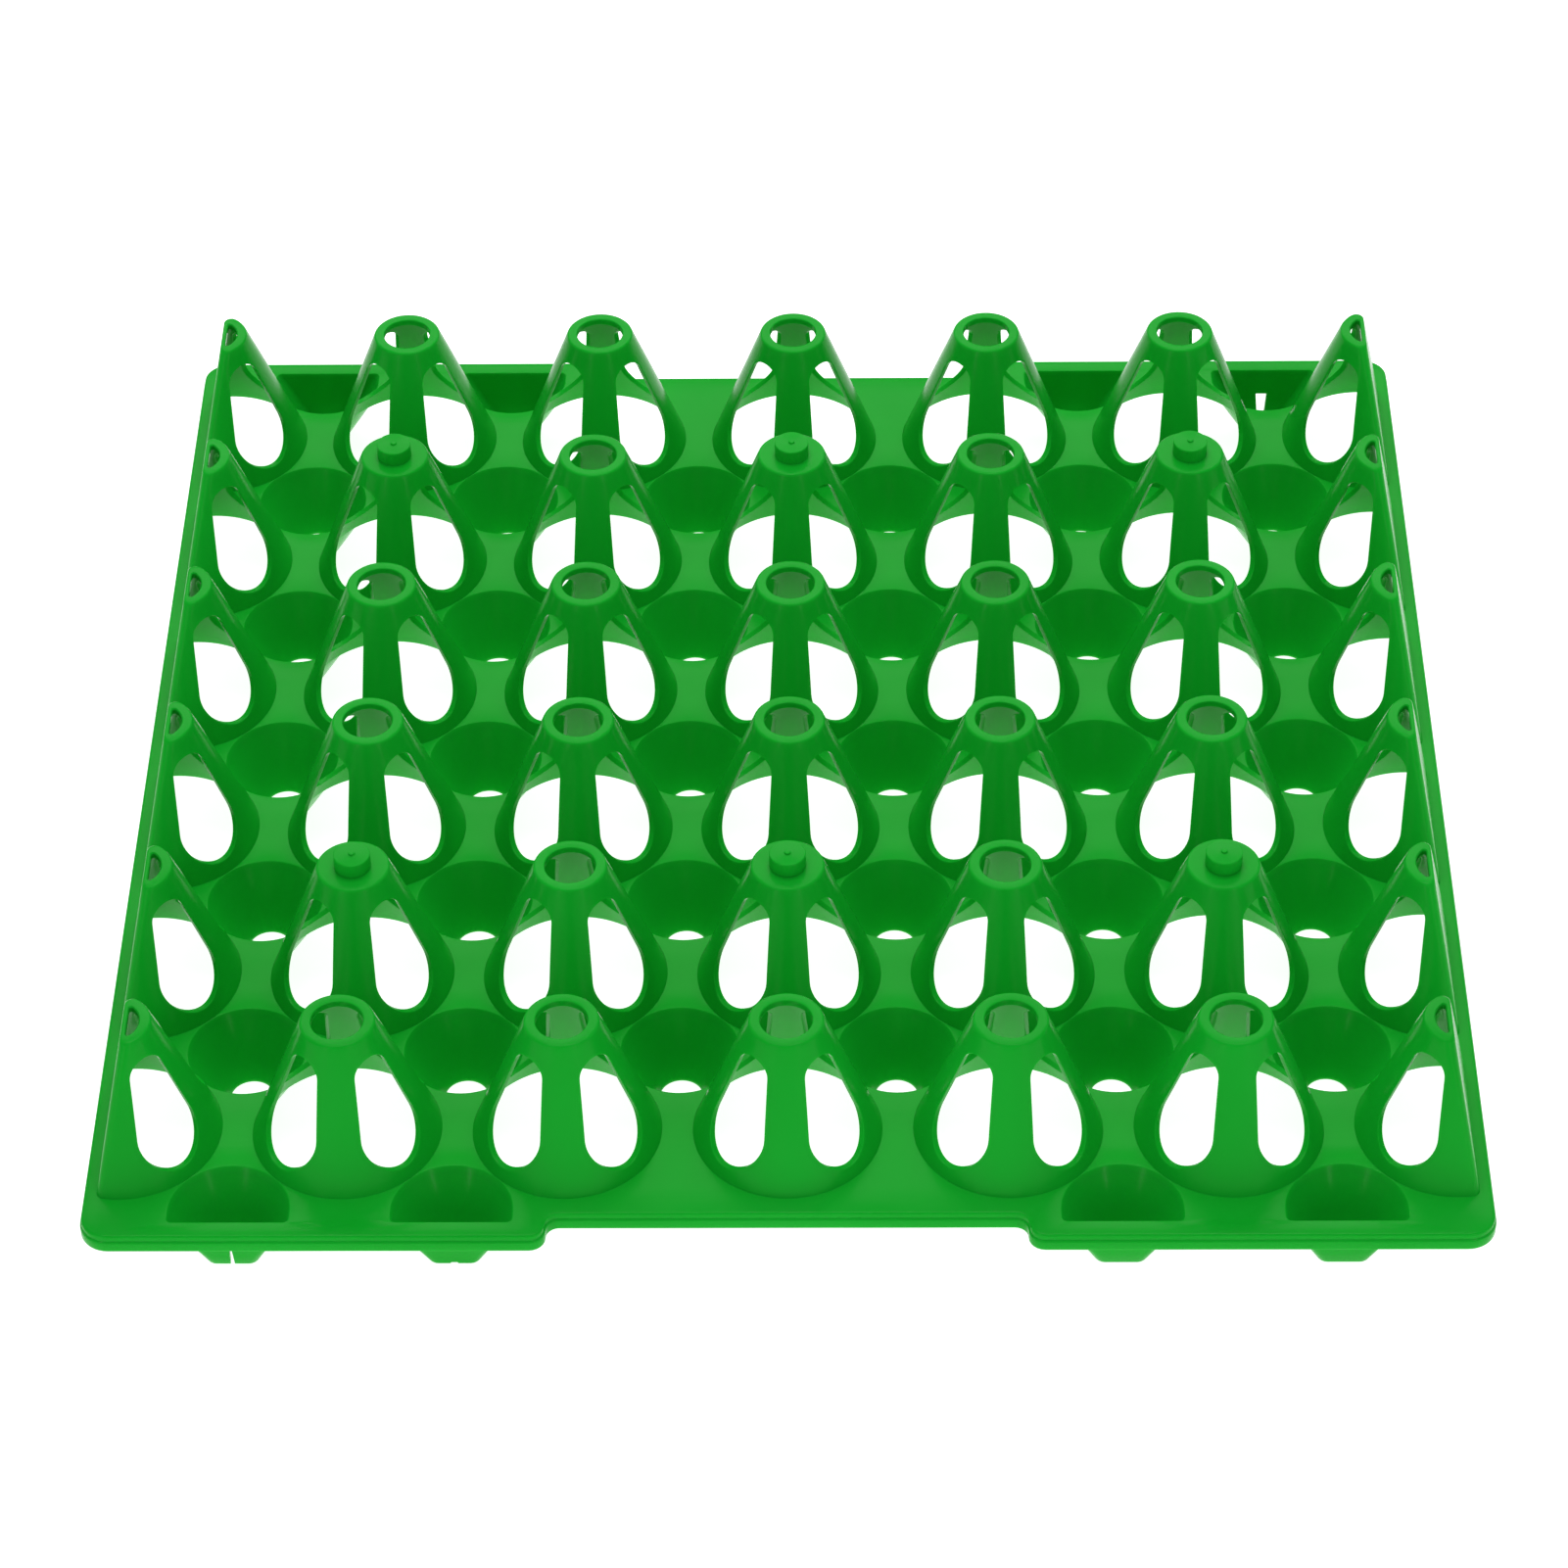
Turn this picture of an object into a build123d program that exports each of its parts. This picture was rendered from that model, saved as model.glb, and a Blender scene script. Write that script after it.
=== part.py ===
"""Thirty-cell egg tray, one injection moulding, modelled as the regions it is moulded in.

The tray lies flat, +Z up.  X runs across the six cells of a row, Y across the five rows.
The origin is the middle of the footprint, on the plane of the cup bottoms.
Hollow posts stand on the deck at every corner of the cell grid, cups hang under it in every
cell.  The regions meet face to face, so each one is a closed solid of its own.
"""
from build123d import *
import os

# Cell grid
PITCH = 47.0
CELLS_X = 6
CELLS_Y = 5

# Deck plate and the skirt round its edge
DECK_HALF = 148.4
DECK_T = 1.4
DECK_CORNER_R = 6.0
DECK_EDGE_R = 0.6
SKIRT_DEPTH = 4.3
SKIRT_T = 1.5
SKIRT_STEP = 0.35
NOTCH_HALF = 51.0
NOTCH_DEPTH = 6.3
NOTCH_R = 3.1

# Posts: hollow cones with a flat ring on top and four windows on the diagonals
POST_H = 33.0
POST_BASE_R = 20.25
POST_TOP_R = 7.85
POST_HOLE_R = 5.55
POST_WALL = 1.35
POST_TOP_T = 1.5
POST_TOP_EDGE_R = 0.5
WINDOW_LOW_R = 7.4
WINDOW_LOW_Z = 10.3
WINDOW_HIGH_R = 4.35
WINDOW_HIGH_Z = 24.15
WINDOW_START = 7.0

# Half posts: the same cone cut by a drafted side wall
SIDE_WALL_BASE = 5.1
SIDE_WALL_TOP = -2.0
SIDE_WALL_T = 1.0
SIDE_WALL_EDGE_R = 1.6

# Cups: open cones that hang under the deck and end in a round drain hole with a short land
CUP_DEPTH = 14.4
CUP_RIM_R = 12.9
CUP_WALL = 1.2
CUP_HOLE_R = 4.6
CUP_LAND_T = 0.6

# Half cups: cut by a drafted end wall, only in the two outer cells at each end of the edge
HALF_CUP_COLUMNS = (0, 1, CELLS_X - 2, CELLS_X - 1)
END_WALL_TOP = 3.3
END_WALL_DRAFT = 0.174
END_WALL_T = 1.3
END_WALL_INNER_R = 0.8
END_WALL_OUTER_R = 1.8
SLOT_TOP_DEPTH = 6.6
SLOT_TOP_W = 2.7
SLOT_LOW_W = 1.5

# Stacking pegs on the six closed posts
PEG_COLUMNS = (1, 3, 5)
PEG_ROWS = (1, 4)
PEG_H = 3.5
PEG_R = 4.0
NUB_R = 0.7
NUB_H = 0.4

DECK_Z = CUP_DEPTH
POST_SLOPE = (POST_BASE_R - POST_TOP_R) / POST_H
CUP_SLOPE = (CUP_RIM_R - CUP_HOLE_R) / (CUP_DEPTH - CUP_LAND_T)
REACH = 60.0


def corner(column, row):
    """Where the grid lines of a column and a row cross, on the deck's top face."""
    return ((column - CELLS_X / 2) * PITCH, (row - CELLS_Y / 2) * PITCH, DECK_Z)


def side_plane(inset):
    """Drafted side wall of a half post, seen with its post on the axis and the wall at -X."""
    lean = (SIDE_WALL_BASE - SIDE_WALL_TOP) / POST_H
    return Plane(origin=(inset - SIDE_WALL_BASE, 0, 0), x_dir=(0, 1, 0), z_dir=(1, 0, -lean))


def end_plane(inset):
    """Drafted end wall of a half cup, seen with its cup on the axis and the wall at -Y."""
    return Plane(origin=(0, inset - END_WALL_TOP, 0), x_dir=(1, 0, 0), z_dir=(0, 1, END_WALL_DRAFT))


def write(part, name):
    """Label one region and write it as a STEP file of its own."""
    part.label = name
    export_step(part, f"parts/{name}.step")


def write_copies(shape, name, places):
    """Write one node that holds a copy of a shape at each place."""
    with BuildPart() as node:
        with Locations(*places):
            add(shape)
    write(node.part, name)


def window_profile(plane):
    """Teardrop window: a wide round foot and a narrow round arch, joined by tangents."""
    rise = WINDOW_HIGH_Z - WINDOW_LOW_Z
    sine = (WINDOW_LOW_R - WINDOW_HIGH_R) / rise
    cosine = (1 - sine**2) ** 0.5
    low = (WINDOW_LOW_R * cosine, WINDOW_LOW_Z + WINDOW_LOW_R * sine)
    high = (WINDOW_HIGH_R * cosine, WINDOW_HIGH_Z + WINDOW_HIGH_R * sine)
    with BuildSketch(plane) as window:
        with BuildLine():
            Line(low, high)
            ThreePointArc(high, (0, WINDOW_HIGH_Z + WINDOW_HIGH_R), (-high[0], high[1]))
            Line((-high[0], high[1]), (-low[0], low[1]))
            ThreePointArc((-low[0], low[1]), (0, WINDOW_LOW_Z - WINDOW_LOW_R), low)
        make_face()
    return window.sketch


def window_planes(angles):
    """Upright planes through the post's axis that face along the given directions."""
    return [Plane.XZ.rotated((0, 0, angle)) for angle in angles]


def post_core(open_top):
    """Hollow inside a post, from the underside of the deck up to its top plate or through it."""
    foot = POST_BASE_R - POST_WALL
    ceiling = POST_H - POST_TOP_T
    with BuildPart() as core:
        with BuildSketch(Plane.XZ):
            with BuildLine():
                Polyline(
                    (0, -DECK_T),
                    (foot + POST_SLOPE * DECK_T, -DECK_T),
                    (foot - POST_SLOPE * ceiling, ceiling),
                    (0, ceiling),
                    close=True,
                )
            make_face()
        revolve(axis=Axis.Z)
        if open_top:
            with BuildSketch(Plane.XY.offset(ceiling)):
                Circle(POST_HOLE_R)
            extrude(amount=POST_TOP_T)
    return core.part


def post_cone():
    """Outside of a post: a plain cone."""
    with BuildPart() as cone:
        with BuildSketch(Plane.XZ):
            with BuildLine():
                Polyline(
                    (0, 0), (POST_BASE_R, 0), (POST_TOP_R, POST_H), (0, POST_H), close=True
                )
            make_face()
        revolve(axis=Axis.Z)
    return cone.part


def make_post(open_top):
    """Full post: cone, hollow core and four windows that face the egg cells."""
    with BuildPart() as post:
        add(post_cone())
        fillet(post.edges().sort_by(Axis.Z)[-1], POST_TOP_EDGE_R)
        add(post_core(open_top), mode=Mode.SUBTRACT)
        for plane in window_planes((45, 135)):
            extrude(window_profile(plane), amount=REACH, both=True, mode=Mode.SUBTRACT)
    return post.part


def half_post_core():
    """Hollow of a half post, flat on the side of the tray's edge."""
    with BuildPart() as core:
        add(post_core(open_top=True))
        split(bisect_by=side_plane(SIDE_WALL_T), keep=Keep.TOP)
    return core.part


def make_half_post():
    """Half post with its drafted side wall at -X and two windows towards the cells."""
    with BuildPart() as post:
        add(post_cone())
        split(bisect_by=side_plane(0), keep=Keep.TOP)
        wall = post.faces().sort_by(Axis.X)[0]
        uprights = [edge for edge in wall.edges() if edge.length > POST_H * 0.9]
        fillet(uprights, SIDE_WALL_EDGE_R)
        add(half_post_core(), mode=Mode.SUBTRACT)
        for plane in window_planes((45, 135)):
            inboard = window_profile(plane.offset(WINDOW_START))
            extrude(inboard, amount=REACH, mode=Mode.SUBTRACT)
    return post.part


def cup_core():
    """Inside of a cup: a cone down to the round drain hole."""
    land = CUP_DEPTH - CUP_LAND_T
    with BuildPart() as core:
        with BuildSketch(Plane.XZ):
            with BuildLine():
                Polyline(
                    (0, 0),
                    (CUP_RIM_R, 0),
                    (CUP_HOLE_R, -land),
                    (CUP_HOLE_R, -CUP_DEPTH),
                    (0, -CUP_DEPTH),
                    close=True,
                )
            make_face()
        revolve(axis=Axis.Z)
    return core.part


def make_cup():
    """Full cup under the deck plate."""
    with BuildPart() as cup:
        with BuildSketch(Plane.XZ):
            with BuildLine():
                Polyline(
                    (0, -DECK_T),
                    (CUP_RIM_R + CUP_WALL - CUP_SLOPE * DECK_T, -DECK_T),
                    (CUP_RIM_R + CUP_WALL - CUP_SLOPE * CUP_DEPTH, -CUP_DEPTH),
                    (0, -CUP_DEPTH),
                    close=True,
                )
            make_face()
        revolve(axis=Axis.Z)
        add(cup_core(), mode=Mode.SUBTRACT)
    return cup.part


def long_cup(grow, top, bottom):
    """Cup cone drawn out towards -Y, between two depths under the deck's top face."""
    with BuildPart() as body:
        for depth in (top, bottom):
            radius = CUP_RIM_R + grow - CUP_SLOPE * depth
            with BuildSketch(Plane.XY.offset(-depth)):
                with Locations((0, -CUP_RIM_R / 2)):
                    SlotCenterToCenter(CUP_RIM_R, 2 * radius, rotation=90)
        loft()
    return body.part


def walled_cup(body, wall_inset, corner_r):
    """Drawn-out cup cut off at its end wall, with round corners beside the wall."""
    with BuildPart() as walled:
        add(body)
        split(bisect_by=end_plane(wall_inset), keep=Keep.TOP)
        wall = walled.faces().sort_by(Axis.Y)[0]
        fillet(wall.edges().filter_by(Axis.X, reverse=True), corner_r)
    return walled.part


def half_cup_core():
    """Inside of a half cup, flat on the side of its end wall."""
    return walled_cup(long_cup(0, 0, CUP_DEPTH), 0, END_WALL_INNER_R)


def make_half_cup(slotted):
    """Half cup with its end wall at -Y, as a foot that shows under the skirt."""
    with BuildPart() as cup:
        add(walled_cup(long_cup(CUP_WALL, DECK_T, CUP_DEPTH), -END_WALL_T, END_WALL_OUTER_R))
        add(half_cup_core(), mode=Mode.SUBTRACT)
        if slotted:
            with BuildSketch(Plane.XZ.offset(END_WALL_TOP - END_WALL_DRAFT * CUP_DEPTH)):
                with BuildLine():
                    Polyline(
                        (-SLOT_TOP_W / 2, -SLOT_TOP_DEPTH),
                        (SLOT_TOP_W / 2, -SLOT_TOP_DEPTH),
                        (SLOT_LOW_W / 2, -CUP_DEPTH),
                        (-SLOT_LOW_W / 2, -CUP_DEPTH),
                        close=True,
                    )
                make_face()
            extrude(amount=REACH, mode=Mode.SUBTRACT)
    return cup.part


def tray_outline(grow):
    """Square with round corners and a finger notch in the front and back edges."""
    with BuildSketch() as outline:
        Rectangle(2 * (DECK_HALF + grow), 2 * (DECK_HALF + grow))
        with Locations((0, DECK_HALF + grow), (0, -DECK_HALF - grow)):
            Rectangle(2 * (NOTCH_HALF - grow), 2 * NOTCH_DEPTH, mode=Mode.SUBTRACT)
        inner = outline.vertices().filter_by(lambda vertex: abs(vertex.X) < NOTCH_HALF + 9)
        outer = outline.vertices().filter_by(lambda vertex: abs(vertex.X) > NOTCH_HALF + 9)
        fillet(inner, NOTCH_R)
        fillet(outer, DECK_CORNER_R + grow)
    return outline.sketch


def make_deck():
    """Plate that joins the posts and cups, pierced by every hollow.

    It is divided through the middles of the cups into one tile for each post, and the tiles
    meet face to face.
    """
    posts = [corner(i, j) for i in range(1, CELLS_X) for j in range(CELLS_Y + 1)]
    cups = [corner(i + 0.5, j + 0.5) for i in range(CELLS_X) for j in range(CELLS_Y)]
    with BuildPart() as deck:
        with BuildSketch(Plane.XY.offset(DECK_Z - DECK_T)):
            add(tray_outline(0))
        extrude(amount=DECK_T)
        rim = deck.faces().sort_by(Axis.Z)[-1].edges()
        fillet(rim, DECK_EDGE_R)
        with Locations(*posts):
            add(post_core(open_top=False), mode=Mode.SUBTRACT)
        with Locations(*half_post_places()):
            add(half_post_core(), mode=Mode.SUBTRACT)
        with Locations(*cups):
            add(cup_core(), mode=Mode.SUBTRACT)
        with Locations(*half_cup_places(0), *half_cup_places(CELLS_Y)):
            add(half_cup_core(), mode=Mode.SUBTRACT)
        for row in range(CELLS_Y):
            split(bisect_by=Plane(origin=corner(0, row + 0.5), z_dir=(0, 1, 0)), keep=Keep.BOTH)
        for column in range(CELLS_X):
            split(bisect_by=Plane(origin=corner(column + 0.5, 0), z_dir=(1, 0, 0)), keep=Keep.BOTH)
    write(deck.part, "deck")


def half_post_places():
    """Places of the half posts: walls outwards, left column first."""
    left = [Location(corner(0, j)) for j in range(CELLS_Y + 1)]
    right = [Location(corner(CELLS_X, j), (0, 0, 180)) for j in range(CELLS_Y + 1)]
    return left + right


def half_cup_places(edge_row):
    """Places of the half cups on the front edge (row 0) or the back edge, walls outwards."""
    if edge_row == 0:
        return [Location(corner(i + 0.5, -0.5)) for i in HALF_CUP_COLUMNS]
    return [Location(corner(i + 0.5, edge_row + 0.5), (0, 0, 180)) for i in HALF_CUP_COLUMNS]


def make_skirts():
    """Skirt under the deck's edge, a step proud of it, in four lengths."""
    split_y = DECK_HALF - DECK_CORNER_R - NOTCH_DEPTH
    with BuildPart() as ring:
        with BuildSketch(Plane.XY.offset(DECK_Z - SKIRT_DEPTH)):
            add(tray_outline(SKIRT_STEP))
            add(tray_outline(SKIRT_STEP - SKIRT_T), mode=Mode.SUBTRACT)
        extrude(amount=SKIRT_DEPTH - DECK_T)
    for name, side in {"front_skirt": -1, "back_skirt": 1}.items():
        with BuildPart() as skirt:
            add(ring.part)
            with Locations((0, side * (split_y + DECK_HALF), DECK_Z)):
                Box(3 * DECK_HALF, 2 * DECK_HALF, DECK_Z, mode=Mode.INTERSECT)
        write(skirt.part, name)
    for name, side in {"left_skirt": -1, "right_skirt": 1}.items():
        with BuildPart() as skirt:
            add(ring.part)
            with Locations((side * DECK_HALF, 0, DECK_Z)):
                Box(DECK_HALF, 2 * split_y, DECK_Z, mode=Mode.INTERSECT)
        write(skirt.part, name)


def make_peg():
    """Stacking peg with the small moulding nub on its top."""
    with BuildPart() as peg:
        with Locations((0, 0, POST_H)):
            Cylinder(PEG_R, PEG_H, align=(Align.CENTER, Align.CENTER, Align.MIN))
        with Locations((0, 0, POST_H + PEG_H)):
            Cylinder(NUB_R, NUB_H, align=(Align.CENTER, Align.CENTER, Align.MIN))
    return peg.part


def make_half_cups():
    """Half cups of the front and back edges; one at a diagonal pair of corners has a slot."""
    plain = make_half_cup(slotted=False)
    slotted = make_half_cup(slotted=True)
    front = half_cup_places(0)
    back = half_cup_places(CELLS_Y)
    with BuildPart() as front_cups:
        with Locations(front[0]):
            add(slotted)
        with Locations(*front[1:]):
            add(plain)
    write(front_cups.part, "half_cups_front")
    with BuildPart() as back_cups:
        with Locations(back[-1]):
            add(slotted)
        with Locations(*back[:-1]):
            add(plain)
    write(back_cups.part, "half_cups_back")


def main():
    os.makedirs("parts", exist_ok=True)
    make_deck()
    make_skirts()

    open_post = make_post(open_top=True)
    closed_post = make_post(open_top=False)
    for row in range(CELLS_Y + 1):
        for column in range(1, CELLS_X):
            pegged = column in PEG_COLUMNS and row in PEG_ROWS
            shape = closed_post if pegged else open_post
            write_copies(shape, f"post_row{row + 1}_{column}", [corner(column, row)])

    half_post = make_half_post()
    for number, place in enumerate(half_post_places()):
        side = "left" if number <= CELLS_Y else "right"
        row = number % (CELLS_Y + 1) + 1
        write_copies(half_post, f"half_post_{side}_{row}", [place])

    cup = make_cup()
    for row in range(CELLS_Y):
        places = [corner(i + 0.5, row + 0.5) for i in range(CELLS_X)]
        write_copies(cup, f"cups_row{row + 1}", places)
    make_half_cups()

    pegs = [corner(column, row) for column in PEG_COLUMNS for row in PEG_ROWS]
    write_copies(make_peg(), "stacking_pegs", pegs)


main()
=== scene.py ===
"""Green egg tray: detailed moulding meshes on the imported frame, studio floor, light and camera."""
from math import asin, atan2, cos, pi, radians, sin, sqrt

import bmesh
import bpy
from mathutils import Matrix, Vector
from mathutils.geometry import delaunay_2d_cdt


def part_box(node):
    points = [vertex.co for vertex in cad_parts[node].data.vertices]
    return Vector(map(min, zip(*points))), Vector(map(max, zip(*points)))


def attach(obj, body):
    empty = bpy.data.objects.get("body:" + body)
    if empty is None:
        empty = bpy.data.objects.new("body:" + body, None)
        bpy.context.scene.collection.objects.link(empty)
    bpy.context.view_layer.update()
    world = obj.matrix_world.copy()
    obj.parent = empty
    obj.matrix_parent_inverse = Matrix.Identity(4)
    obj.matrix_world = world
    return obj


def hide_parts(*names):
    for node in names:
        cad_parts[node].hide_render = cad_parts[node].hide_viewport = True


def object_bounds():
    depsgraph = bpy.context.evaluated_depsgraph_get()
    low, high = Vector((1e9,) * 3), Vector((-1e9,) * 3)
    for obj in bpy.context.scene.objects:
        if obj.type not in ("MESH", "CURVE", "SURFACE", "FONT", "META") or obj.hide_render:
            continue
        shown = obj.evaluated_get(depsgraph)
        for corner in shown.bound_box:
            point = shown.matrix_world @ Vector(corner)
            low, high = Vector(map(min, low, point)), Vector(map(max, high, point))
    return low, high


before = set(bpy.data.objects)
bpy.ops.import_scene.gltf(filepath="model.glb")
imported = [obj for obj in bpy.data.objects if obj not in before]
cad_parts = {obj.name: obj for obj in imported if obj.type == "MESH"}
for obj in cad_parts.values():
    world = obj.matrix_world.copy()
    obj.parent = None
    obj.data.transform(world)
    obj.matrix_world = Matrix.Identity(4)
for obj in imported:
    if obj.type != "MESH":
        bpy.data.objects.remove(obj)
cad_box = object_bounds()

MM = 0.001


def low(node):
    """Lowest corner of a CAD node, in millimetres."""
    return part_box(node)[0] / MM


def high(node):
    """Highest corner of a CAD node, in millimetres."""
    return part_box(node)[1] / MM


# Places and sizes that the frame gives, in millimetres
DECK_Z = high("deck").z
DECK_T = DECK_Z - low("deck").z
DECK_HALF = high("deck").x
PITCH = low("post_row1_2").x - low("post_row1_1").x
POST_H = high("post_row1_1").z - DECK_Z
POST_R = (high("post_row1_1").x - low("post_row1_1").x) / 2
SIDE_WALL_BASE = high("half_post_right_1").x - 3 * PITCH
SKIRT_Z = low("front_skirt").z - DECK_Z
SKIRT_STEP = high("right_skirt").x - DECK_HALF
SKIRT_T = high("right_skirt").x - low("right_skirt").x
NUB_Z = high("stacking_pegs").z - DECK_Z

# Sizes inside the posts
POST_TOP_R = 7.85
POST_HOLE_R = 5.55
POST_WALL = 1.35
POST_TOP_T = 1.5
WINDOW_LOW_R = 7.4
WINDOW_LOW_Z = 10.3
WINDOW_HIGH_R = 4.35
WINDOW_HIGH_Z = 24.15
SIDE_WALL_TOP = -2.0
SIDE_WALL_T = 1.0
SIDE_CORNER_R = 1.6

# Sizes inside the cups
CUP_DEPTH = DECK_Z
CUP_RIM_R = 12.9
CUP_WALL = 1.2
CUP_HOLE_R = 4.6
CUP_LAND_T = 0.6
END_WALL_TOP = 3.3
END_WALL_DRAFT = 0.174
END_WALL_T = 1.3
END_CORNER_R = 1.2
END_OUTER_CORNER_R = 2.6

# Gaps in the flat wall of a half cup: top height, width at the top, width at the bottom
SLOT = (-6.6, 2.7, 1.5)
SLIT = (-8.6, 0.4, 0.9)
NICK = (-13.8, 1.3, 1.9)

# Outline of the deck
DECK_CORNER_R = 6.0
NOTCH_HALF = 51.0
NOTCH_DEPTH = 6.3
NOTCH_R = 3.1
SKIRT_SPLIT = DECK_HALF - DECK_CORNER_R - NOTCH_DEPTH

# Stacking pegs
PEG_R = 4.0
PEG_H = 3.5
NUB_R = 0.7

POST_SLOPE = (POST_R - POST_TOP_R) / POST_H
SIDE_LEAN = (SIDE_WALL_BASE - SIDE_WALL_TOP) / POST_H
CUP_SLOPE = (CUP_RIM_R - CUP_HOLE_R) / (CUP_DEPTH - CUP_LAND_T)


# ---------------------------------------------------------------- mesh tools


class Shell:
    """Vertices and faces of one piece, in millimetres, built from rings of points."""

    def __init__(self):
        self.verts = []
        self.faces = []

    def ring(self, points):
        """Add points and return their indices."""
        start = len(self.verts)
        self.verts.extend(points)
        return list(range(start, len(self.verts)))

    def bridge(self, first, second, closed=True):
        """Join two rings of the same length by a band of faces."""
        count = len(first)
        for i in range(count if closed else count - 1):
            j = (i + 1) % count
            self.faces.append((first[i], first[j], second[j], second[i]))

    def loft(self, rings, closed=True):
        """Skin a list of point lists and return the first and last rings of indices."""
        indices = [self.ring(points) for points in rings]
        for first, second in zip(indices, indices[1:]):
            self.bridge(first, second, closed)
        return indices[0], indices[-1]

    def cap(self, ring):
        """Close a ring with a fan round its middle."""
        middle = sum((Vector(self.verts[i]) for i in ring), Vector()) / len(ring)
        self.verts.append(tuple(middle))
        centre = len(self.verts) - 1
        for i, index in enumerate(ring):
            self.faces.append((index, ring[(i + 1) % len(ring)], centre))

    def sheet(self, loops):
        """Flat sheet at the height of its loops: the first is the outside, the rest are holes."""
        start = [self.ring(points) for points in loops]
        flat = [index for ring in start for index in ring]
        where = {index: k for k, index in enumerate(flat)}
        points = [Vector(self.verts[index][:2]) for index in flat]
        edges = []
        for ring in start:
            edges += [(where[a], where[b]) for a, b in zip(ring, ring[1:] + ring[:1])]
        holes = [[where[index] for index in ring] for ring in start[1:]]
        outside = [[where[index] for index in start[0]]]
        result = delaunay_2d_cdt(points, edges, outside + holes, 1, 1e-5, True)
        inside_outline, triangles, sources = result[0], result[2], result[5]
        z = self.verts[flat[0]][2]
        made = self.ring([(p.x, p.y, z) for p in inside_outline])
        for triangle, source in zip(triangles, sources):
            if source == [0]:
                self.faces.append(tuple(made[k] for k in triangle))


def finish_piece(name, shells_at, smooth_angle=35.0):
    """Make one object of shells placed by matrices, merge their seams and orient the faces."""
    mesh = bpy.data.meshes.new(name)
    work = bmesh.new()
    for shell, matrix in shells_at:
        verts = [work.verts.new((matrix @ Vector(v)) * MM) for v in shell.verts]
        for face in shell.faces:
            corners = [verts[i] for i in dict.fromkeys(face)]
            if len(corners) > 2:
                work.faces.new(corners)
    bmesh.ops.remove_doubles(work, verts=work.verts, dist=0.002 * MM)
    loose = [vert for vert in work.verts if not vert.link_faces]
    bmesh.ops.delete(work, geom=loose, context="VERTS")
    bmesh.ops.recalc_face_normals(work, faces=work.faces)
    for face in work.faces:
        face.smooth = True
    work.to_mesh(mesh)
    work.free()
    mesh.set_sharp_from_angle(angle=radians(smooth_angle))
    piece = bpy.data.objects.new(name, mesh)
    bpy.context.scene.collection.objects.link(piece)
    return piece


def place(x, y, turn=0.0):
    """Matrix that puts a shell's axis at x, y on the deck's top face."""
    return Matrix.Translation((x, y, DECK_Z)) @ Matrix.Rotation(turn, 4, "Z")


def curve(start, corner, end, steps):
    """Points on the round from start to end that leaves along start-corner."""
    points = []
    for k in range(steps + 1):
        t = k / steps
        a, b, c = (1 - t) ** 2, 2 * t * (1 - t), t**2
        points.append(tuple(a * p + b * q + c * r for p, q, r in zip(start, corner, end)))
    return points


def rounded(profile, radii, steps=3):
    """Profile with its corners cut back by the given lengths and rounded."""
    points = []
    for k, corner in enumerate(profile):
        cut = radii.get(k, 0)
        if not cut:
            points.append(corner)
            continue
        here = Vector(corner)
        before = here + (Vector(profile[k - 1]) - here).normalized() * cut
        after = here + (Vector(profile[(k + 1) % len(profile)]) - here).normalized() * cut
        points += curve(tuple(before), corner, tuple(after), steps)
    return points


def spin(profile, steps):
    """Rings of a profile of (radius, height) points, turned round the Z axis."""
    rings = []
    for radius, z in profile:
        turns = [2 * pi * k / steps for k in range(steps)]
        rings.append([(radius * cos(a), radius * sin(a), z) for a in turns])
    return rings


# ---------------------------------------------------------------- posts

BOTTOM_STEPS, CORNER_STEPS, SIDE_STEPS, SHOULDER_STEPS, ARCH_STEPS = 10, 7, 8, 7, 6
EDGE_ROUND = 0.18
INNER_ROUND = 0.12
TOP_ROUND = 0.5
RING_BANDS = (0.0, 0.07, 0.35, 0.68, 1.0)


def half_window():
    """Directions and centres of the window outline's points, lowest point first, +X side."""
    tangent = asin((WINDOW_LOW_R - WINDOW_HIGH_R) / (WINDOW_HIGH_Z - WINDOW_LOW_Z))
    foot = atan2(-WINDOW_LOW_Z, POST_R * pi / 4)
    shoulder = atan2(POST_H - WINDOW_HIGH_Z, POST_TOP_R * pi / 4)
    points = []
    for start, end, steps in ((-pi / 2, foot, BOTTOM_STEPS), (foot, tangent, CORNER_STEPS)):
        for k in range(steps):
            points.append((start + (end - start) * k / steps, WINDOW_LOW_R, WINDOW_LOW_Z))
    for k in range(SIDE_STEPS):
        t = k / SIDE_STEPS
        radius = WINDOW_LOW_R + (WINDOW_HIGH_R - WINDOW_LOW_R) * t
        centre = WINDOW_LOW_Z + (WINDOW_HIGH_Z - WINDOW_LOW_Z) * t
        points.append((tangent, radius, centre))
    ends = ((tangent, shoulder, SHOULDER_STEPS), (shoulder, pi / 2, ARCH_STEPS))
    for start, end, steps in ends:
        for k in range(steps):
            points.append((start + (end - start) * k / steps, WINDOW_HIGH_R, WINDOW_HIGH_Z))
    points.append((pi / 2, WINDOW_HIGH_R, WINDOW_HIGH_Z))
    return points


def window_outline(grow):
    """Window outline as (across, up) points, all the way round."""
    right = [((r + grow) * cos(a), z + (r + grow) * sin(a)) for a, r, z in half_window()]
    left = [(-across, up) for across, up in right[-2:0:-1]]
    return right + left


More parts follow.
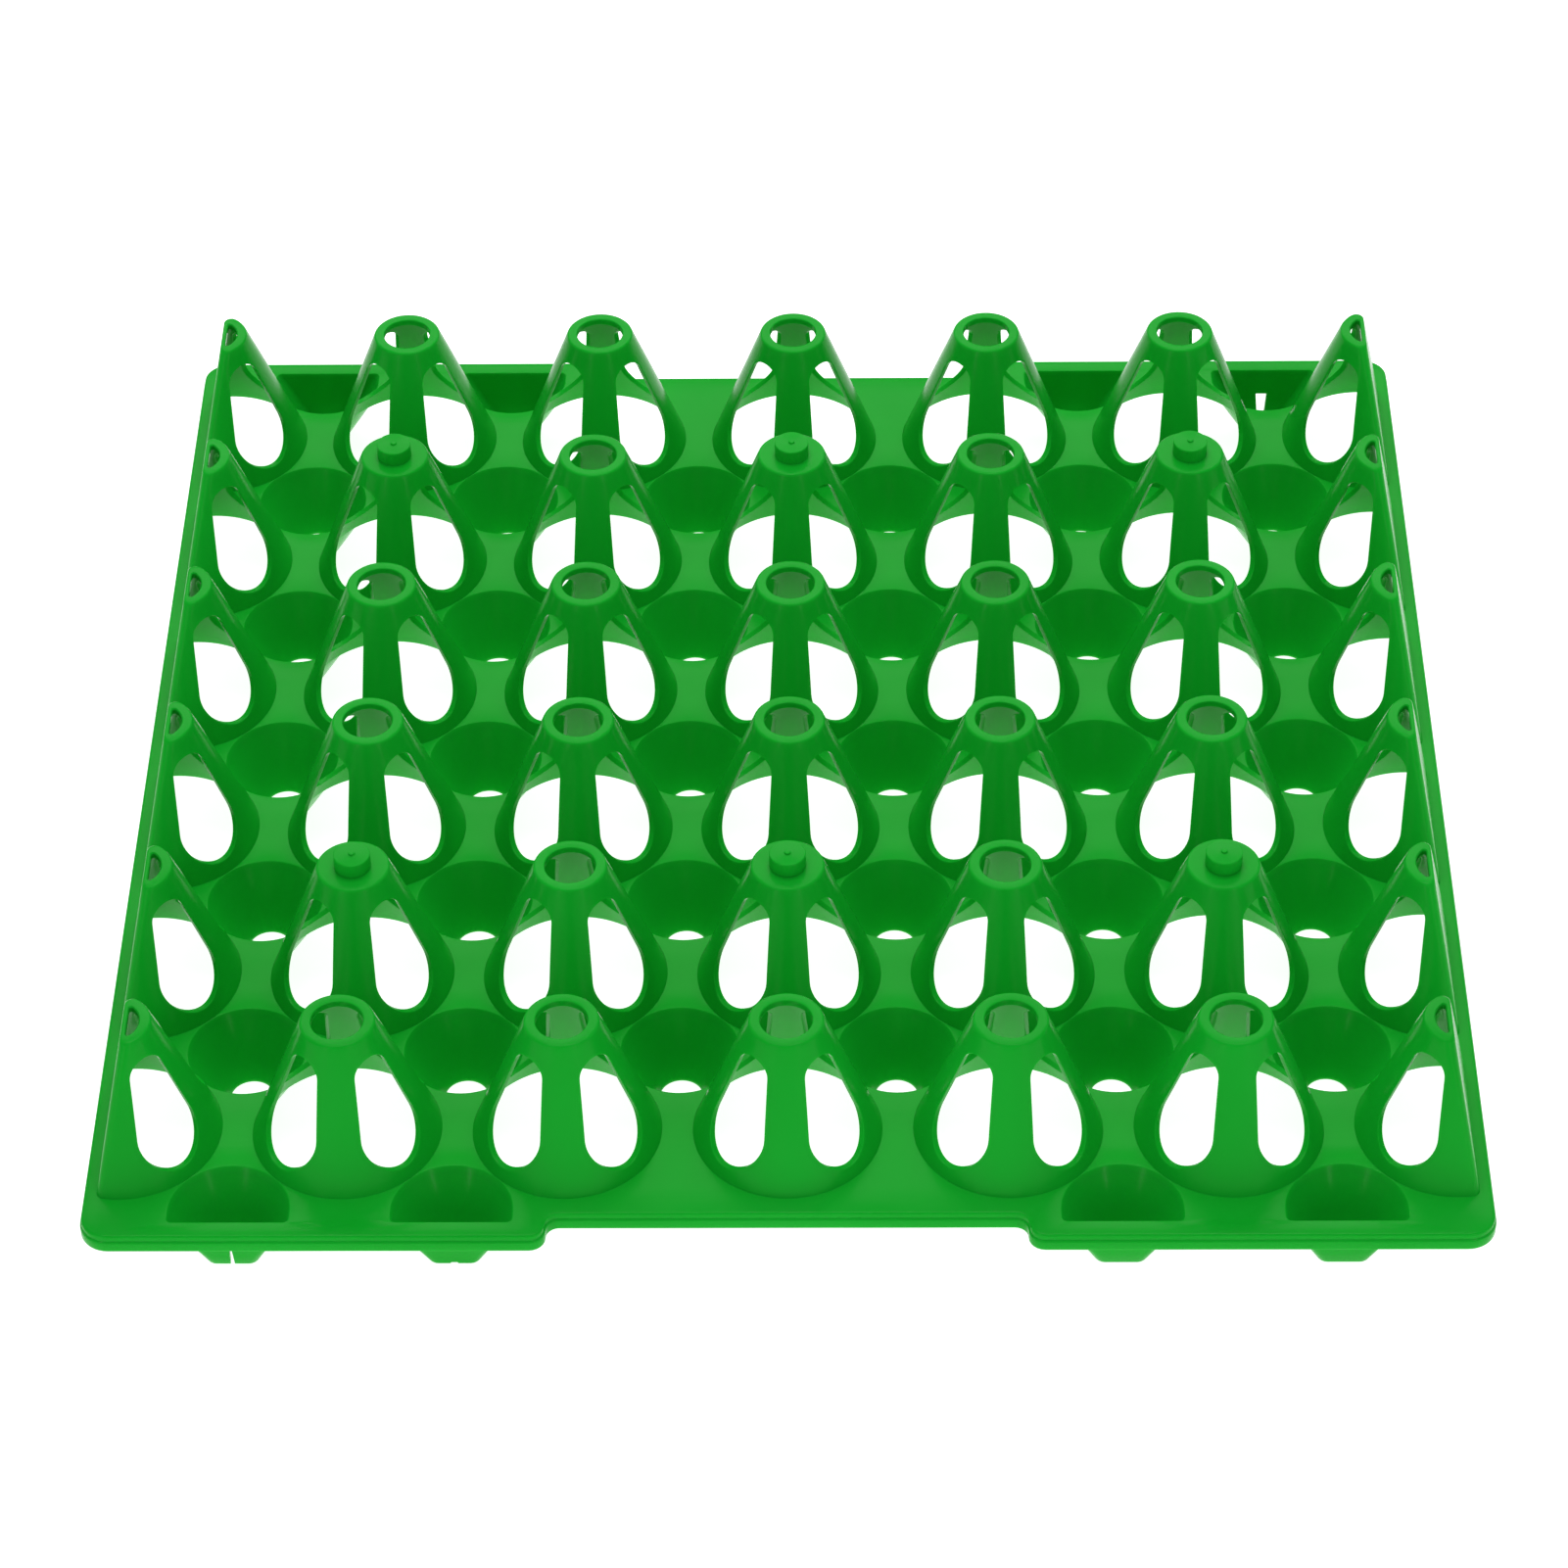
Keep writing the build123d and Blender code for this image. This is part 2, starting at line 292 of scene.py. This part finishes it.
def patch_border(top, left, right):
    """Border of one window's share of the cone, as (angle, height) matched to the outline."""
    outline = window_outline(0)
    rise = BOTTOM_STEPS + CORNER_STEPS + SIDE_STEPS + SHOULDER_STEPS
    crown = rise + ARCH_STEPS
    foot_up, head_up = outline[BOTTOM_STEPS][1], outline[rise][1]
    border = []
    for k in range(crown + 1):
        if k <= BOTTOM_STEPS:
            border.append((k / BOTTOM_STEPS, 0.0))
        elif k <= rise:
            border.append((1.0, top * (outline[k][1] - foot_up) / (head_up - foot_up)))
        else:
            border.append(((crown - k) / ARCH_STEPS, top))
    both = [(share * right(z), z) for share, z in border]
    both += [(share * left(z), z) for share, z in border[-2:0:-1]]
    return both


def window_skin(shell, facing, radius, top, left, right, grow):
    """Skin of one window's share of a cone, from its border to the grown window outline."""

    def on_cone(angle, z):
        return (radius(z) * cos(facing + angle), radius(z) * sin(facing + angle), z)

    inner = [(asin(across / radius(up)), up) for across, up in window_outline(grow)]
    outer = patch_border(top, left, right)
    rings = []
    for t in RING_BANDS:
        mixed = [(a + (c - a) * t, b + (d - b) * t) for (a, b), (c, d) in zip(inner, outer)]
        rings.append([on_cone(angle, z) for angle, z in mixed])
    shell.loft(rings)
    return rings[0]


def window_wall(shell, facing, outside, inside, outer_edge, inner_edge):
    """Wall of a window through the cone's thickness, with both its edges rounded."""

    def at(depth, across, up):
        x = depth * cos(facing) - across * sin(facing)
        y = depth * sin(facing) + across * cos(facing)
        return (x, y, up)

    columns = []
    for k, (across, up) in enumerate(window_outline(0)):
        out_depth = sqrt(outside(up) ** 2 - across**2)
        in_depth = sqrt(inside(up) ** 2 - across**2)
        column = curve(
            outer_edge[k], at(out_depth, across, up), at(out_depth - EDGE_ROUND, across, up), 4
        )
        column += curve(
            at(in_depth + INNER_ROUND, across, up), at(in_depth, across, up), inner_edge[k], 3
        )
        columns.append(column)
    shell.loft([list(ring) for ring in zip(*columns)])


def post_radius(z):
    """Outside radius of a post at a height above the deck."""
    return POST_R - POST_SLOPE * z


def core_radius(z):
    """Radius of the hollow in a post at a height above the deck."""
    return POST_R - POST_WALL - POST_SLOPE * z


def share_turns(steps):
    """Directions of the points round a post where the four window shares end."""
    turns = []
    for quarter in range(4):
        facing = pi / 4 + quarter * pi / 2
        for k in range(-steps, steps):
            turns.append(facing + k / steps * pi / 4)
    return turns


def around(turns, radius, z):
    """Points at the given directions round the Z axis."""
    return [(radius * cos(a), radius * sin(a), z) for a in turns]


def make_post(open_top):
    """Full post: outer and inner cone, four rounded windows and the ring on top."""
    shell = Shell()
    ceiling = POST_H - POST_TOP_T
    shoulder = POST_H - TOP_ROUND

    def quarter(_):
        return pi / 4

    def other(_):
        return -pi / 4

    for k in range(4):
        facing = pi / 4 + k * pi / 2
        outer = window_skin(shell, facing, post_radius, shoulder, other, quarter, EDGE_ROUND)
        inner = window_skin(shell, facing, core_radius, ceiling, other, quarter, INNER_ROUND)
        window_wall(shell, facing, post_radius, core_radius, outer, inner)

    edge = curve(
        (post_radius(shoulder), shoulder),
        (POST_TOP_R, POST_H),
        (POST_TOP_R - TOP_ROUND, POST_H),
        4,
    )
    turns = share_turns(ARCH_STEPS)
    if open_top:
        mouth = curve(
            (POST_HOLE_R + 0.3, POST_H), (POST_HOLE_R, POST_H), (POST_HOLE_R, POST_H - 0.3), 3
        )
        profile = edge + mouth + [(POST_HOLE_R, ceiling), (core_radius(ceiling), ceiling)]
        shell.loft([around(turns, radius, z) for radius, z in profile])
    else:
        top = [around(turns, radius, z) for radius, z in edge + [(PEG_R, POST_H)]]
        shell.cap(shell.loft(top)[1])
        under = [around(turns, radius, ceiling) for radius in (core_radius(ceiling), PEG_R)]
        shell.cap(shell.loft(under)[1])
    feet = share_turns(BOTTOM_STEPS)
    shell.loft([around(feet, post_radius(0), 0), around(feet, core_radius(0), 0)])
    return shell


# ---------------------------------------------------------------- half posts


def side_section(radius, wall, corner):
    """Corner data of a circle cut by a wall at x = wall: the round's centre and direction."""
    x = wall + corner
    y = sqrt((radius - corner) ** 2 - x**2)
    return x, y, atan2(y, x)


def side_rest(radius, wall, corner, z, steps=5, across=5):
    """Points of a cut circle from the end of its arc over the round, wall and other round."""
    x, y, turn = side_section(radius, wall, corner)
    half = []
    for k in range(steps + 1):
        a = turn + (pi - turn) * k / steps
        half.append((x + corner * cos(a), y + corner * sin(a), z))
    middle = [(wall, y * (1 - 2 * k / across), z) for k in range(1, across)]
    return half + middle + [(px, -py, pz) for px, py, pz in half[::-1]]


def make_half_post():
    """Half post with its wall towards -X, two windows and a D-shaped hole on top."""
    shell = Shell()
    ceiling = POST_H - POST_TOP_T
    shoulder = POST_H - TOP_ROUND
    skins = (
        (post_radius, -SIDE_WALL_BASE, SIDE_CORNER_R, shoulder, EDGE_ROUND),
        (core_radius, SIDE_WALL_T - SIDE_WALL_BASE, SIDE_CORNER_R / 2, ceiling, INNER_ROUND),
    )
    edges = []
    for radius, base, corner, top, grow in skins:

        def arc_end(z):
            return side_section(radius(z), base + SIDE_LEAN * z, corner)[2] - pi / 4

        def quarter(_):
            return pi / 4

        def minus_end(z):
            return -arc_end(z)

        def minus_quarter(_):
            return -pi / 4

        edges.append(
            [
                window_skin(shell, pi / 4, radius, top, minus_quarter, arc_end, grow),
                window_skin(shell, -pi / 4, radius, top, minus_end, quarter, grow),
            ]
        )
        heights = [z for angle, z in patch_border(top, minus_quarter, arc_end)]
        rise = BOTTOM_STEPS + CORNER_STEPS + SIDE_STEPS + SHOULDER_STEPS
        rows = [
            side_rest(radius(z), base + SIDE_LEAN * z, corner, z)
            for z in heights[BOTTOM_STEPS : rise + 1]
        ]
        shell.loft(rows, closed=False)
    for k, facing in enumerate((pi / 4, -pi / 4)):
        window_wall(shell, facing, post_radius, core_radius, edges[0][k], edges[1][k])

    def section(radius, wall, corner, z, steps):
        """Whole section, with the arc points where the window shares end."""
        turn = side_section(radius, wall, corner)[2]
        arc = []
        for k in range(2 * steps):
            share = k / steps
            if share <= 1:
                angle = -turn + (turn - pi / 4) * share
            else:
                angle = -pi / 4 + pi / 4 * (share - 1)
            arc.append(angle)
        arc += [0.0] + [-angle for angle in arc[::-1]]
        points = [(radius * cos(a), radius * sin(a), z) for a in arc]
        return points + side_rest(radius, wall, corner, z)[1:-1]

    wall = SIDE_LEAN * POST_H - SIDE_WALL_BASE
    low_wall = SIDE_LEAN * shoulder - SIDE_WALL_BASE
    cut = TOP_ROUND
    outer = [
        section(post_radius(shoulder), low_wall, SIDE_CORNER_R, shoulder, ARCH_STEPS),
        section(POST_TOP_R - 0.05, wall + 0.05, SIDE_CORNER_R, POST_H - 0.25 * cut, ARCH_STEPS),
        section(POST_TOP_R - 0.3 * cut, wall + 0.3 * cut, SIDE_CORNER_R, POST_H - 0.06, ARCH_STEPS),
        section(POST_TOP_R - 0.7 * cut, wall + 0.7 * cut, SIDE_CORNER_R, POST_H, ARCH_STEPS),
    ]
    hole_wall = wall + SIDE_WALL_T
    mouth = [
        section(POST_HOLE_R + 0.25, hole_wall - 0.25, 0.7, POST_H, ARCH_STEPS),
        section(POST_HOLE_R, hole_wall, 0.5, POST_H - 0.25, ARCH_STEPS),
        section(POST_HOLE_R, hole_wall, 0.5, ceiling, ARCH_STEPS),
        section(
            core_radius(ceiling),
            SIDE_LEAN * ceiling + SIDE_WALL_T - SIDE_WALL_BASE,
            SIDE_CORNER_R / 2,
            ceiling,
            ARCH_STEPS,
        ),
    ]
    shell.loft(outer + mouth)
    feet = [
        section(post_radius(0), -SIDE_WALL_BASE, SIDE_CORNER_R, 0, BOTTOM_STEPS),
        section(core_radius(0), SIDE_WALL_T - SIDE_WALL_BASE, SIDE_CORNER_R / 2, 0, BOTTOM_STEPS),
    ]
    shell.loft(feet)
    return shell


# ---------------------------------------------------------------- cups

CUP_STEPS = 72
POST_HOLE_STEPS = 80
RIM_ROUND = 0.16


def cup_radius(z):
    """Inside radius of a cup at a height below the deck's top face."""
    return CUP_RIM_R + CUP_SLOPE * z


def make_cup():
    """Full cup under the deck: an open cone with a short land at its drain hole."""
    profile = [
        (cup_radius(-DECK_T), -DECK_T),
        (CUP_HOLE_R, CUP_LAND_T - CUP_DEPTH),
        (CUP_HOLE_R, -CUP_DEPTH),
        (cup_radius(-CUP_DEPTH) + CUP_WALL, -CUP_DEPTH),
        (cup_radius(-DECK_T) + CUP_WALL, -DECK_T),
    ]
    profile = rounded(profile, {1: 0.15, 2: 0.12, 3: 0.25})
    shell = Shell()
    first, last = shell.loft(spin(profile, CUP_STEPS))
    shell.bridge(last, first)
    return shell


END_ARC_STEPS = 32
END_ROUND_STEPS = 5
PLAIN_HALF = 3.0


def end_outline(z, grow, wall_grow, corner, gap_half=PLAIN_HALF):
    """Section of a half cup, wall towards -Y: arc, straight sides, rounds and flat wall."""
    radius = cup_radius(z) + grow
    wall = -END_WALL_TOP - END_WALL_DRAFT * z - wall_grow
    corner = min(corner, -0.05 - wall)

    def round_at(x, start):
        """Quarter round between a straight side and the wall."""
        turns = [start + pi / 2 * k / END_ROUND_STEPS for k in range(END_ROUND_STEPS + 1)]
        return [(x + corner * cos(a), wall + corner + corner * sin(a), z) for a in turns]

    points = around([pi * k / END_ARC_STEPS for k in range(END_ARC_STEPS + 1)], radius, z)
    points.append((-radius, (wall + corner) / 2, z))
    points += round_at(corner - radius, pi)
    beside = (radius - corner + gap_half) / 2
    points += [(x, wall, z) for x in (-beside, -gap_half, 0.0, gap_half, beside)]
    points += round_at(radius - corner, -pi / 2)
    points.append((radius, (wall + corner) / 2, z))
    return points


# Where a gap lies in the outline's points and in the list of levels
GAP_LEFT = END_ARC_STEPS + END_ROUND_STEPS + 4
GAP_COLUMNS = (GAP_LEFT, GAP_LEFT + 1)
GAP_LEVEL = 2
FOOT_ROUND = 0.3
FOOT_CUT = 0.08


def make_half_cup(gap, cut):
    """Half cup: a foot under the edge with a flat outer wall, which a gap may cut open."""
    top, wide, narrow = gap
    foot = FOOT_ROUND - CUP_DEPTH
    levels = [
        (-DECK_T, 0),
        ((top - DECK_T) / 2, 0),
        (top, 0),
        ((top + foot) / 2, 0),
        (foot, 0),
        (FOOT_CUT - CUP_DEPTH, FOOT_CUT),
        (-CUP_DEPTH, FOOT_ROUND),
    ]
    shell = Shell()
    inner, outer = [], []
    for z, back in levels:
        share = max(0.0, (top - z) / (top + CUP_DEPTH))
        half = (wide + (narrow - wide) * share) / 2
        inner.append(shell.ring(end_outline(z, 0, 0, END_CORNER_R, half)))
        outline = end_outline(z, CUP_WALL - back, END_WALL_T - back, END_OUTER_CORNER_R, half)
        outer.append(shell.ring(outline))

    def join(first, second, open_gap):
        """Bridge two rows, but not across the gap where it is open."""
        for k in range(len(first)):
            if not (open_gap and k in GAP_COLUMNS):
                after = (k + 1) % len(first)
                shell.faces.append((first[k], first[after], second[after], second[k]))

    for rows in (inner, outer):
        for level, (upper, lower) in enumerate(zip(rows, rows[1:])):
            join(upper, lower, cut and level >= GAP_LEVEL)
    join(inner[0], outer[0], False)
    join(inner[-1], outer[-1], cut)
    if cut:
        for column in (GAP_LEFT, GAP_LEFT + 2):
            inside = [row[column] for row in inner[GAP_LEVEL:]]
            outside = [row[column] for row in outer[GAP_LEVEL:]]
            shell.bridge(inside, outside, closed=False)
        lintel = slice(GAP_LEFT, GAP_LEFT + 3)
        shell.bridge(inner[GAP_LEVEL][lintel], outer[GAP_LEVEL][lintel], closed=False)
    return shell


def make_peg():
    """Stacking peg with a soft top edge and the small moulding nub in its middle."""
    top = POST_H + PEG_H
    profile = [(PEG_R, POST_H), (PEG_R, top), (NUB_R, top), (NUB_R, NUB_Z), (0.2, NUB_Z)]
    shell = Shell()
    for end in shell.loft(spin(rounded(profile, {1: 0.3, 2: 0.1, 3: 0.2}), CUP_STEPS)):
        shell.cap(end)
    return shell


# ---------------------------------------------------------------- deck and skirt


NOTCH_STEPS = 6
CORNER_TURN_STEPS = 10
QUARTER = 2 * (NOTCH_STEPS + 1) + (CORNER_TURN_STEPS + 1) + 1


def deck_outline(grow, z):
    """Tray outline, front right quarter first: square, round corners, notch front and back."""
    half = DECK_HALF + grow
    root = half - NOTCH_DEPTH
    mouth = NOTCH_HALF - grow
    convex, concave, corner = NOTCH_R + grow, NOTCH_R - grow, DECK_CORNER_R + grow

    def arc(cx, cy, radius, start, end, steps):
        turns = [radians(start + (end - start) * k / steps) for k in range(steps + 1)]
        return [(cx + radius * cos(a), cy + radius * sin(a)) for a in turns]

    quarter = [
        *arc(mouth - concave, -root - concave, concave, 90, 0, NOTCH_STEPS),
        *arc(mouth + convex, -half + convex, convex, 180, 270, NOTCH_STEPS),
        *arc(half - corner, -half + corner, corner, -90, 0, CORNER_TURN_STEPS),
        (half, -SKIRT_SPLIT),
    ]
    right = quarter + [(x, -y) for x, y in quarter[::-1]]
    return [(x, y, z) for x, y in right + [(-x, -y) for x, y in right]]


def hole_outlines(z, grow):
    """Outlines of every hollow through the deck at a height, grown outwards."""
    loops = []
    post_turns = [2 * pi * k / POST_HOLE_STEPS for k in range(POST_HOLE_STEPS)]
    cup_turns = [2 * pi * k / CUP_STEPS for k in range(CUP_STEPS)]
    for j in range(6):
        for i in range(1, 6):
            x, y = (i - 3) * PITCH, (j - 2.5) * PITCH
            ring = around(post_turns, core_radius(z), z)
            loops.append([(px + x, py + y, pz) for px, py, pz in ring])
    for j in range(5):
        for i in range(6):
            x, y = (i - 2.5) * PITCH, (j - 2) * PITCH
            ring = around(cup_turns, cup_radius(z) + grow, z)
            loops.append([(px + x, py + y, pz) for px, py, pz in ring])
    base = SIDE_WALL_T - SIDE_WALL_BASE + SIDE_LEAN * z
    radius = core_radius(z)
    turn = side_section(radius, base, SIDE_CORNER_R / 2)[2]
    arc = [-turn + 2 * turn * k / 60 for k in range(61)]
    ring = [(radius * cos(a), radius * sin(a), z) for a in arc]
    ring += side_rest(radius, base, SIDE_CORNER_R / 2, z)[1:-1]
    for sign in (1, -1):
        for j in range(6):
            x, y = -sign * 3 * PITCH, (j - 2.5) * PITCH
            loops.append([(sign * px + x, sign * py + y, pz) for px, py, pz in ring])
    for sign in (1, -1):
        ring = end_outline(z, grow, grow, END_CORNER_R + grow)
        for column in (-2.5, -1.5, 1.5, 2.5):
            x, y = column * PITCH, -sign * 3 * PITCH
            loops.append([(sign * px + x, sign * py + y, pz) for px, py, pz in ring])
    return loops


def make_deck():
    """Deck plate with a rounded outer edge and rounded rims round the cups.

    The steps are (height, growth) pairs: first down each rim, then down the outer edge.
    """
    shell = Shell()
    steps = ((0.0, RIM_ROUND), (-0.03, 0.07), (-0.08, 0.02), (-0.18, 0.0), (-DECK_T, 0.0))
    rims = [hole_outlines(z, grow) for z, grow in steps]
    edge = ((0.0, -0.55), (-0.05, -0.3), (-0.2, -0.1), (-0.5, 0.0), (-DECK_T, 0.0))
    outline = [deck_outline(grow, z) for z, grow in edge]
    shell.loft(outline)
    for loops in zip(*rims):
        shell.loft(list(loops))
    shell.sheet([outline[0], *rims[0]])
    shell.sheet([outline[-1], *rims[-1]])
    return shell


def make_skirt(first, last):
    """One length of the skirt: its section swept along the outline between two points."""
    top, bottom = -DECK_T, SKIRT_Z
    out, back = SKIRT_STEP, SKIRT_STEP - SKIRT_T
    profile = rounded(
        [(back, top), (0.0, top), (out, top - 0.5), (out, bottom), (back, bottom)],
        {2: 0.2, 3: 0.35, 4: 0.2},
    )
    sweeps = [deck_outline(grow, z) for grow, z in profile]
    stations = [list(section) for section in zip(*sweeps)]
    count = len(stations)
    chosen = [stations[k % count] for k in range(first, last + 1)]
    shell = Shell()
    for end in shell.loft(chosen):
        shell.cap(end)
    return shell


# ---------------------------------------------------------------- materials


def plastic():
    """Satin green polypropylene: fine machining lines, faint flow marks, a little see-through."""
    material = bpy.data.materials.new("tray_green")
    material.use_nodes = True
    nodes, links = material.node_tree.nodes, material.node_tree.links
    nodes.clear()
    output = nodes.new("ShaderNodeOutputMaterial")
    shader = nodes.new("ShaderNodeBsdfPrincipled")
    links.new(shader.outputs["BSDF"], output.inputs["Surface"])
    where = nodes.new("ShaderNodeTexCoord")

    def noise(scale, detail, stretch=(1, 1, 1)):
        mapping = nodes.new("ShaderNodeMapping")
        mapping.inputs["Scale"].default_value = stretch
        links.new(where.outputs["Object"], mapping.inputs["Vector"])
        texture = nodes.new("ShaderNodeTexNoise")
        texture.inputs["Scale"].default_value = scale
        texture.inputs["Detail"].default_value = detail
        links.new(mapping.outputs["Vector"], texture.inputs["Vector"])
        return texture.outputs["Fac"]

    def ramp(source, stops):
        node = nodes.new("ShaderNodeValToRGB")
        node.color_ramp.elements[0].position, node.color_ramp.elements[0].color = stops[0]
        node.color_ramp.elements[1].position, node.color_ramp.elements[1].color = stops[-1]
        links.new(source, node.inputs["Fac"])
        return node.outputs["Color"]

    flow = noise(22, 3)
    colour = ramp(flow, [(0.3, (0.0045, 0.37, 0.019, 1)), (0.7, (0.006, 0.41, 0.024, 1))])
    links.new(colour, shader.inputs["Base Color"])
    gloss = ramp(noise(60, 4), [(0.3, (0.17, 0.17, 0.17, 1)), (0.7, (0.25, 0.25, 0.25, 1))])
    links.new(gloss, shader.inputs["Roughness"])
    lines = noise(220, 2, (0.04, 4, 10))
    bump = nodes.new("ShaderNodeBump")
    bump.inputs["Strength"].default_value = 0.2
    bump.inputs["Distance"].default_value = 0.0001
    links.new(lines, bump.inputs["Height"])
    links.new(bump.outputs["Normal"], shader.inputs["Normal"])
    shader.inputs["IOR"].default_value = 1.49
    shader.inputs["Specular IOR Level"].default_value = 0.06
    shader.inputs["Subsurface Weight"].default_value = 0.2
    shader.inputs["Subsurface Radius"].default_value = (0.2, 1.0, 0.25)
    shader.inputs["Subsurface Scale"].default_value = 0.002
    return material


def floor_material():
    """Plain pale tabletop."""
    material = bpy.data.materials.new("floor")
    material.use_nodes = True
    nodes, links = material.node_tree.nodes, material.node_tree.links
    shader = nodes["Principled BSDF"]
    texture = nodes.new("ShaderNodeTexNoise")
    texture.inputs["Scale"].default_value = 40
    mix = nodes.new("ShaderNodeValToRGB")
    mix.color_ramp.elements[0].color = (0.56, 0.56, 0.56, 1)
    mix.color_ramp.elements[1].color = (0.60, 0.60, 0.60, 1)
    links.new(texture.outputs["Fac"], mix.inputs["Fac"])
    links.new(mix.outputs["Color"], shader.inputs["Base Color"])
    shader.inputs["Roughness"].default_value = 0.9
    shader.inputs["Emission Color"].default_value = (1, 1, 1, 1)
    shader.inputs["Emission Strength"].default_value = 0.92
    return material


# ---------------------------------------------------------------- camera, light, floor


def make_camera():
    """Camera in front of the tray, looking down on it at about 43 degrees."""
    elevation, azimuth, roll = radians(42.577), radians(0.979), radians(-0.827)
    distance = 1.155
    centre = (cad_box[0] + cad_box[1]) / 2
    target = Vector((centre[0] - 0.00158, centre[1] - 0.00893, DECK_Z * MM))
    back = Vector(
        (sin(azimuth) * cos(elevation), -cos(azimuth) * cos(elevation), sin(elevation))
    )
    right = Vector((cos(azimuth), sin(azimuth), 0))
    up = back.cross(right)
    turned = right * cos(roll) + up * sin(roll)
    upright = up * cos(roll) - right * sin(roll)
    camera_data = bpy.data.cameras.new("camera")
    camera_data.sensor_width = 36
    camera_data.lens = 115.68
    camera_data.clip_start = 0.05
    camera = bpy.data.objects.new("camera", camera_data)
    matrix = Matrix((turned, upright, back)).transposed().to_4x4()
    matrix.translation = target + back * distance
    camera.matrix_world = matrix
    bpy.context.scene.collection.objects.link(camera)
    bpy.context.scene.camera = camera


def make_area_light(name, position, size, power):
    """Rectangular softbox that points at the middle of the tray."""
    data = bpy.data.lights.new(name, "AREA")
    data.shape = "RECTANGLE"
    data.size, data.size_y = size
    data.energy = power
    light = bpy.data.objects.new(name, data)
    light.location = position
    aim = -Vector(position)
    light.rotation_euler = aim.to_track_quat("-Z", "Y").to_euler()
    bpy.context.scene.collection.objects.link(light)


def make_floor():
    """Wide tabletop just under the tray's feet."""
    mesh = bpy.data.meshes.new("floor")
    work = bmesh.new()
    bmesh.ops.create_grid(work, x_segments=8, y_segments=8, size=4)
    work.to_mesh(mesh)
    work.free()
    floor = bpy.data.objects.new("floor", mesh)
    floor.location.z = -0.0002
    mesh.materials.append(floor_material())
    bpy.context.scene.collection.objects.link(floor)


def make_world():
    """Even white surroundings."""
    world = bpy.data.worlds.new("studio")
    world.use_nodes = True
    background = world.node_tree.nodes["Background"]
    background.inputs["Color"].default_value = (1, 1, 1, 1)
    background.inputs["Strength"].default_value = 0.36
    bpy.context.scene.world = world


make_camera()
make_world()
make_floor()
make_area_light("top_light", (0, 0.2, 1.5), (0.9, 0.8), 9.5)
make_area_light("back_softbox", (0, 1.15, 1.05), (1.3, 0.7), 7)
make_area_light("left_strip", (-0.8, -1.39, 0.46), (0.06, 0.9), 2.1)
make_area_light("right_strip", (0.8, -1.39, 0.46), (0.06, 0.9), 2.1)
bpy.context.scene.view_settings.view_transform = "Standard"

green = plastic()


def show(name, shells_at, *nodes):
    """Make a piece that stands for CAD nodes, in the tray's plastic."""
    piece = finish_piece(name, shells_at)
    piece.data.materials.append(green)
    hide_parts(*nodes)
    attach(piece, "root")


def build_tray():
    """Make every moulded piece at its place on the grid."""
    post, closed_post, half_post = make_post(True), make_post(False), make_half_post()
    pegged = [(i, j) for i in (1, 3, 5) for j in (2, 5)]
    for j in range(1, 7):
        y = (j - 3.5) * PITCH
        for i in range(1, 6):
            shell = closed_post if (i, j) in pegged else post
            node = f"post_row{j}_{i}"
            show("moulded_" + node, [(shell, place((i - 3) * PITCH, y))], node)
        for side, sign in (("left", 1), ("right", -1)):
            node = f"half_post_{side}_{j}"
            turn = 0 if sign > 0 else pi
            show("moulded_" + node, [(half_post, place(-sign * 3 * PITCH, y, turn))], node)
    cup = make_cup()
    for j in range(1, 6):
        cups = [(cup, place((i - 2.5) * PITCH, (j - 3) * PITCH)) for i in range(6)]
        show(f"moulded_cups_row{j}", cups, f"cups_row{j}")
    plain, slotted = make_half_cup(SLOT, False), make_half_cup(SLOT, True)
    slit, nicked = make_half_cup(SLIT, True), make_half_cup(NICK, True)
    for end, sign, last, next_one in (("front", 1, slit, nicked), ("back", -1, slotted, plain)):
        row = [(-2.5, last), (-1.5, next_one), (1.5, plain), (2.5, plain)]
        turn = 0 if sign > 0 else pi
        cups = [(cup, place(sign * at * PITCH, -sign * 3 * PITCH, turn)) for at, cup in row]
        show(f"moulded_half_cups_{end}", cups, f"half_cups_{end}")
    peg = make_peg()
    pegs = [(peg, place((i - 3) * PITCH, (j - 3.5) * PITCH)) for i, j in pegged]
    show("moulded_stacking_pegs", pegs, "stacking_pegs")
    show("moulded_deck", [(make_deck(), place(0, 0))], "deck")
    lengths = {
        "right": (QUARTER - 1, QUARTER),
        "back": (QUARTER, 3 * QUARTER - 1),
        "left": (3 * QUARTER - 1, 3 * QUARTER),
        "front": (3 * QUARTER, 5 * QUARTER - 1),
    }
    for side, (first, last) in lengths.items():
        skirt = make_skirt(first, last)
        show(f"moulded_{side}_skirt", [(skirt, place(0, 0))], f"{side}_skirt")


build_tray()
